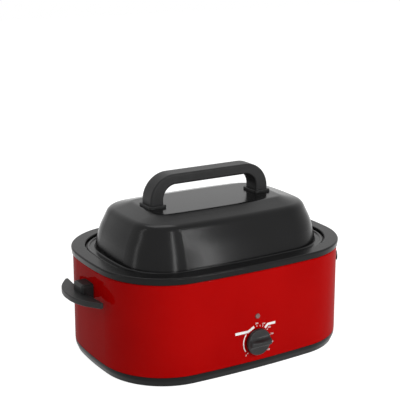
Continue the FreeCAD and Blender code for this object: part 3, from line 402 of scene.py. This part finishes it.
def text_mesh(word, height):
    curve = bpy.data.curves.new("dial_number", "FONT")
    curve.body = word
    curve.size = height
    curve.align_x = "CENTER"
    curve.align_y = "CENTER"
    curve.extrude = PRINT_DEPTH / 2
    carrier = bpy.data.objects.new("dial_number", curve)
    mesh = bpy.data.meshes.new_from_object(carrier)
    bpy.data.objects.remove(carrier)
    bpy.data.curves.remove(curve)
    return mesh


def make_dial_numbers(material):
    shape = bmesh.new()
    for word, angle in [*zip(DIAL_NUMBERS, NUMBER_ANGLES), ("0", OFF_ANGLE)]:
        spot = around(NUMBER_RADIUS, angle)
        mesh = text_mesh(word, NUMBER_HEIGHT)
        for vertex in mesh.vertices:
            x = spot.x + vertex.co.x
            vertex.co = (x, wall(x) - PRINT_DEPTH / 2 - vertex.co.z, spot.y + vertex.co.y)
        shape.from_mesh(mesh)
        bpy.data.meshes.remove(mesh)
    mesh = from_bmesh("dial_numbers", shape, smooth=False)
    new_piece("dial_numbers", mesh, "base", material)


# Knob


def make_knob(material):
    """A round knob with a rolled edge and a dished face on each side of a grip ridge."""
    back, front = knob_high.y, knob_low.y
    skirt, edge_round, edge_steps = 7.0 * MM, 2.2 * MM, 5
    recess_inset, recess_depth = 3 * MM, 3.5 * MM
    back_bevel, taper = 0.5 * MM, 0.3 * MM
    ridge_rise = (back - front) - skirt
    ridge_width, ridge_flare, ridge_power = 5.6 * MM, 0.25, 5
    crest_drop, crest_power = 0.30, 3
    fall_start, fall_width, fall_share = 0.80, 0.20, 0.9
    dish = 1.2 * MM
    sectors, rings = 160, 56
    shape = bmesh.new()

    def face_height(x, z):
        """How far the face stands in front of the knob's back."""
        reach = min(1.0, math.hypot(x, z) / KNOB_RADIUS)
        along = abs(x) / KNOB_RADIUS
        side = abs(z) / (ridge_width * (1.0 + ridge_flare * along))
        crest = 1.0 - crest_drop * along ** crest_power
        ridge = crest / (1.0 + side ** ridge_power)
        fall = 1.0 - max(0.0, (reach - fall_start) / fall_width) ** 2 * fall_share
        hollow = dish * (1 - reach * reach) * (1 - ridge)
        return skirt + ridge_rise * ridge * fall - hollow

    def ring(radius, height):
        points = []
        for step in range(sectors):
            turn = 2 * math.pi * step / sectors
            x, z = radius * math.cos(turn), radius * math.sin(turn)
            depth = height(x, z) if callable(height) else height
            points.append(shape.verts.new((KNOB_CENTRE.x + x, back - depth, KNOB_CENTRE.z + z)))
        return points

    wall_radius = KNOB_RADIUS - taper
    rows = [
        ring(KNOB_RADIUS - recess_inset, recess_depth),
        ring(KNOB_RADIUS - recess_inset, 0.0),
        ring(KNOB_RADIUS - back_bevel, 0.0),
        ring(KNOB_RADIUS, back_bevel),
        ring(wall_radius, skirt - edge_round),
    ]
    for step in range(1, edge_steps):
        turn = math.radians(90 * step / edge_steps)
        inward = edge_round * (1 - math.cos(turn))
        rows.append(ring(wall_radius - inward, skirt - edge_round * (1 - math.sin(turn))))
    inner = wall_radius - edge_round
    for step in range(rings):
        rows.append(ring(inner * (1 - step / rings), face_height))
    for first, second in zip(rows, rows[1:]):
        for index in range(sectors):
            after = (index + 1) % sectors
            shape.faces.new((first[index], first[after], second[after], second[index]))
    shape.faces.new(rows[-1])
    shape.faces.new(rows[0])
    piece = new_piece("knob_grip", from_bmesh("knob_grip", shape), "knob", material)
    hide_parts("control_knob")


# Stage, light and camera


def on_background(tree):
    """1 for the rays that show the background: straight, mirrored or through glass."""
    path = add_node(tree, "LightPath")
    value = path.outputs["Is Camera Ray"]
    for name in ("Is Glossy Ray", "Is Transmission Ray"):
        both = tree.nodes.new("ShaderNodeMath")
        both.operation = "MAXIMUM"
        tree.links.new(value, both.inputs[0])
        tree.links.new(path.outputs[name], both.inputs[1])
        value = both.outputs[0]
    return value


def make_world():
    world = bpy.data.worlds.new("studio")
    bpy.context.scene.world = world
    world.use_nodes = True
    tree = world.node_tree
    tree.nodes.clear()
    lit = add_node(tree, "Background", Color=(1, 1, 1, 1), Strength=WORLD_LIGHT)
    seen = add_node(tree, "Background", Color=(1, 1, 1, 1), Strength=1.0)
    mix = add_node(tree, "MixShader")
    output = add_node(tree, "OutputWorld")
    tree.links.new(on_background(tree), mix.inputs[0])
    tree.links.new(lit.outputs[0], mix.inputs[1])
    tree.links.new(seen.outputs[0], mix.inputs[2])
    tree.links.new(mix.outputs[0], output.inputs["Surface"])


def make_floor():
    shape = bmesh.new()
    bmesh.ops.create_grid(shape, x_segments=1, y_segments=1, size=FLOOR_SIZE / 2)
    floor = bpy.data.objects.new("floor", from_bmesh("floor", shape, smooth=False))
    bpy.context.scene.collection.objects.link(floor)
    material = bpy.data.materials.new("pale_floor")
    material.use_nodes = True
    tree = material.node_tree
    tree.nodes.clear()
    paper = add_node(tree, "BsdfDiffuse", Color=(FLOOR_SHADE, FLOOR_SHADE, FLOOR_SHADE, 1))
    glow = add_node(tree, "Emission", Color=(1, 1, 1, 1))
    level = tree.nodes.new("ShaderNodeMath")
    level.operation = "MULTIPLY"
    level.inputs[1].default_value = FLOOR_GLOW
    both = add_node(tree, "AddShader")
    output = add_node(tree, "OutputMaterial")
    tree.links.new(on_background(tree), level.inputs[0])
    tree.links.new(level.outputs[0], glow.inputs["Strength"])
    tree.links.new(paper.outputs[0], both.inputs[0])
    tree.links.new(glow.outputs[0], both.inputs[1])
    tree.links.new(both.outputs[0], output.inputs["Surface"])
    floor.data.materials.append(material)


def softbox(name, spot, aim, width, height, power, mirrored=True):
    """A rectangular light, placed and aimed from the middle of the base."""
    lamp = bpy.data.lights.new(name, "AREA")
    lamp.shape = "RECTANGLE"
    lamp.size = width
    lamp.size_y = height
    lamp.energy = power
    light = bpy.data.objects.new(name, lamp)
    bpy.context.scene.collection.objects.link(light)
    light.location = Vector(spot) + Vector((0, MIDDLE_Y, 0))
    light.visible_glossy = mirrored
    light.rotation_euler = (Vector(aim) - Vector(spot)).to_track_quat("-Z", "Y").to_euler()


def make_lights():
    """Broad lights that no surface mirrors, and tall strips that the lid and the rims mirror."""
    middle = (0, 0, 0.2)
    same_height = (0, 0, 1.2)
    softbox("key", (1.0, -2.2, 1.2), middle, 1.1, 1.1, 26, mirrored=False)
    softbox("corner_fill", (-1.3, -1.9, 0.8), middle, 0.8, 0.8, 8, mirrored=False)
    softbox("front_strip", (0.80, -2.05, 1.2), same_height, 0.05, 2.4, 14)
    softbox("corner_strip", (-0.36, -2.27, 1.2), same_height, 0.10, 2.4, 14)
    softbox("side_strip", (-2.2, 0.35, 1.2), same_height, 0.22, 2.4, 5)
    softbox("left_strip", (-1.5, 1.3, 0.6), middle, 0.5, 1.3, 3, mirrored=False)
    softbox("top", (0, 0.6, 2.3), middle, 1.4, 1.0, 11)


def make_camera():
    data = bpy.data.cameras.new("camera")
    data.sensor_width = SENSOR
    data.lens = FOCAL_PIXELS / PHOTO_SIDE * SENSOR
    data.shift_y = CAMERA_SHIFT
    camera = bpy.data.objects.new("camera", data)
    bpy.context.scene.collection.objects.link(camera)
    camera.location = Vector(CAMERA_SPOT) + Vector((0, MIDDLE_Y, 0))
    camera.rotation_euler = (math.radians(90 - CAMERA_TILT), 0, math.radians(CAMERA_TURN))
    bpy.context.scene.camera = camera


finishes = make_finishes()
paint = shade("dial_paint", **DIAL_PAINT)
make_dial_marks(paint)
make_dial_numbers(paint)
make_knob(finishes["knob_plastic"])
make_world()
make_floor()
make_lights()
make_camera()
bpy.context.scene.view_settings.view_transform = "Standard"
